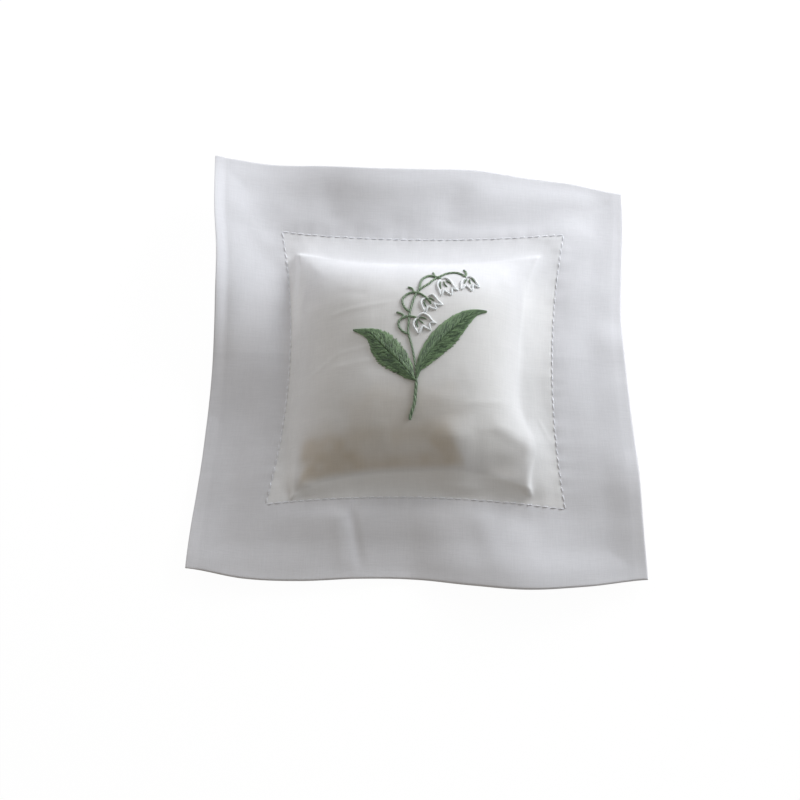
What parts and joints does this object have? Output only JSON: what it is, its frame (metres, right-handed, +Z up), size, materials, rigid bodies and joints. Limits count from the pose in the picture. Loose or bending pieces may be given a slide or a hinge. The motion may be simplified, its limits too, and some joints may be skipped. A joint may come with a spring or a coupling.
{
  "type": "scented sachet",
  "caption": "Square linen scented sachet with a stitched flange, an embroidered sprig, an envelope back and a pouch of dried lavender inside.",
  "frame": {"origin": "on the table, under the middle of the cover's outline, with the sachet lying face up", "axes": "+Z up out of the embroidered face, +Y towards the top of the sprig, +X to the right of the face"},
  "size_m": [0.1528, 0.1548, 0.0251],
  "materials": {
    "linen_white": "matte",
    "muslin_cream": "matte",
    "thread_white": "satin",
    "floss_leaf_green": "satin",
    "floss_stalk_green": "satin",
    "floss_white": "satin",
    "lavender_dried": "matte"
  },
  "bodies": {
    "cover": {"front_panel": "linen_white", "back_panel_upper": "linen_white", "back_panel_lower": "linen_white", "rim_seam_thread": "thread_white", "border_needle_thread": "thread_white", "border_bobbin_thread": "thread_white", "upper_hem_thread_left": "thread_white", "upper_hem_thread_right": "thread_white", "lower_hem_thread": "thread_white", "pouch_front": "muslin_cream", "pouch_back": "muslin_cream", "lavender_fill": "lavender_dried", "pouch_seam_thread": "thread_white", "leaf_left": "floss_leaf_green", "leaf_right": "floss_leaf_green", "lower_stem": "floss_stalk_green", "stalk": "floss_stalk_green", "stalk_loop_1": "floss_stalk_green", "stalk_loop_2": "floss_stalk_green", "stalk_loop_3": "floss_stalk_green", "flower_1": "floss_white", "flower_2": "floss_white", "flower_3": "floss_white", "flower_4": "floss_white"},
    "flap": {"back_flap": "linen_white", "flap_hem_thread": "thread_white"}
  },
  "joints": [
    {"name": "back_flap_hinge", "type": "hinge", "parent": "cover", "child": "flap", "pos_m": [0, 0.00554, 0.00013], "axis": [1, 0, 0], "range_deg": [0, 30]}
  ]
}
